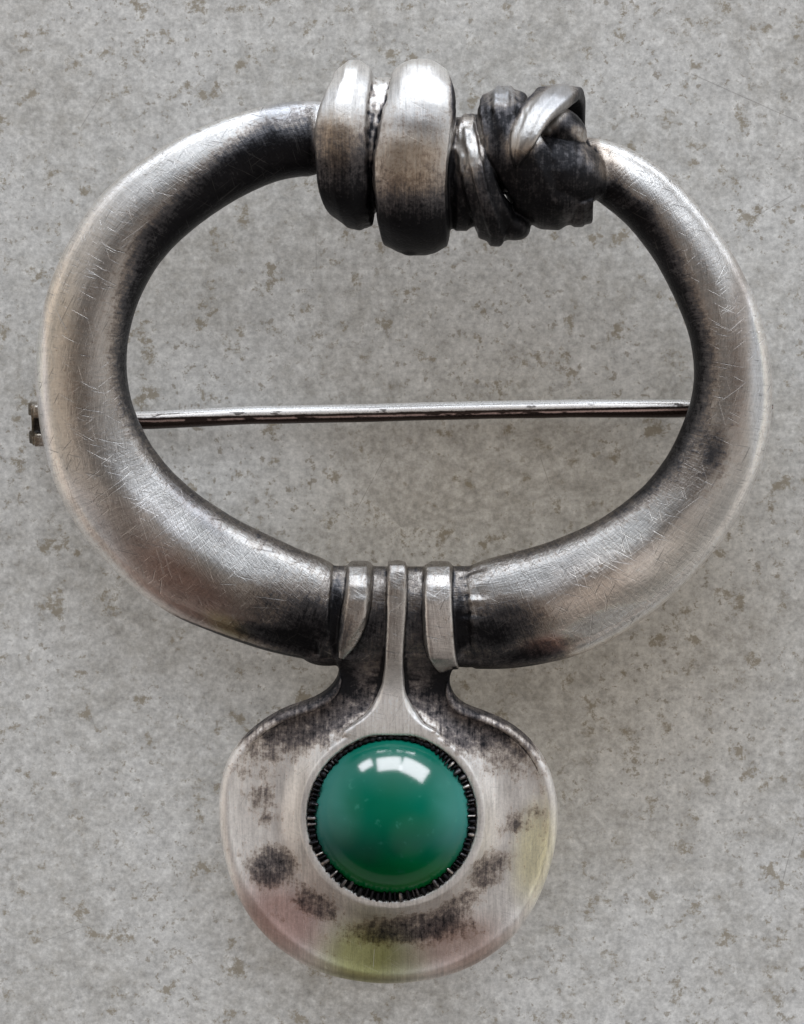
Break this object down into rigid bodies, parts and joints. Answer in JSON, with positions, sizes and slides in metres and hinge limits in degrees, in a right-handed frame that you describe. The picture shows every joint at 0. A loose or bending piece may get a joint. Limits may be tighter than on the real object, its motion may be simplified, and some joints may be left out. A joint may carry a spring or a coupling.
{
  "type": "silver ring brooch",
  "caption": "Knotted silver ring brooch with a strapped waist, a dished round pendant holding a green cabochon, and a hinged pin stem with a plain hook behind.",
  "frame": {"origin": "middle of the lying brooch's footprint, on the surface that it lies on", "axes": "+Y up the brooch towards the knot, +X to the right seen from the front, +Z out of the front"},
  "size_m": [0.0474, 0.0578, 0.0115],
  "materials": {
    "silver": "oxidised silver, satin with bright high places and a black patina in the hollows",
    "stone": "polished translucent green",
    "pin_wire": "polished drawn wire with a little tarnish",
    "rivet": "worn rivet with brown tarnish"
  },
  "bodies": {
    "brooch": {"brooch_body": "silver", "cabochon": "stone", "hinge_rivet": "rivet"},
    "pin": {"pin_stem": "pin_wire"}
  },
  "joints": [
    {"name": "pin_swing", "type": "hinge", "parent": "brooch", "child": "pin", "pos_m": [-0.02243, 0.00666, 0.00133], "axis": [-0.0218, 0.994, 0.1075], "range_deg": [0, 100]}
  ]
}
